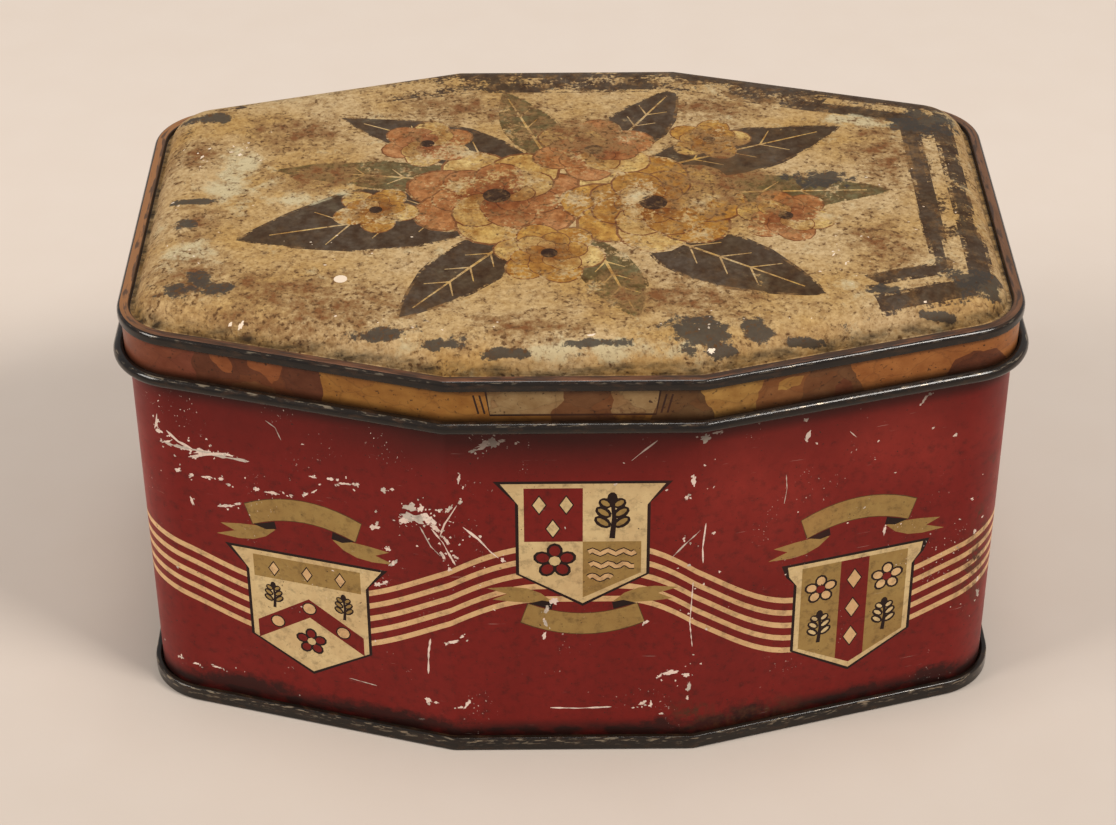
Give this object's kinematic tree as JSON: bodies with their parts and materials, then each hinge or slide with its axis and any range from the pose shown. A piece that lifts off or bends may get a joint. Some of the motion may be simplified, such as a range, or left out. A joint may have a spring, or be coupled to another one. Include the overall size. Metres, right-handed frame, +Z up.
{
  "type": "keepsake tin",
  "caption": "Eight-sided tinplate keepsake box with a domed slip lid that lifts straight off, rolled edges and a double-seamed base.",
  "frame": {"origin": "middle of the footprint, on the surface that the tin stands on", "axes": "+X along the length, -Y towards the front, +Z up"},
  "size_m": [0.1706, 0.1196, 0.0916],
  "materials": {
    "red_print": "printed red enamel on tinplate, chipped and scratched, satin",
    "dark_tinplate": "dark lacquered tinplate, worn bright on its edges",
    "ochre_print": "ochre print under brown varnish, mottled",
    "worn_print": "cream print, heavily rubbed and specked with rust"
  },
  "bodies": {
    "tin_body": {"body_wall": "red_print", "base_panel": "dark_tinplate"},
    "lid": {"lid_skirt": "ochre_print", "lid_panel": "worn_print"}
  },
  "joints": [
    {"name": "lid_lift", "type": "slide", "parent": "tin_body", "child": "lid", "axis": [0, 0, 1], "range_m": [0, 0.06]}
  ]
}
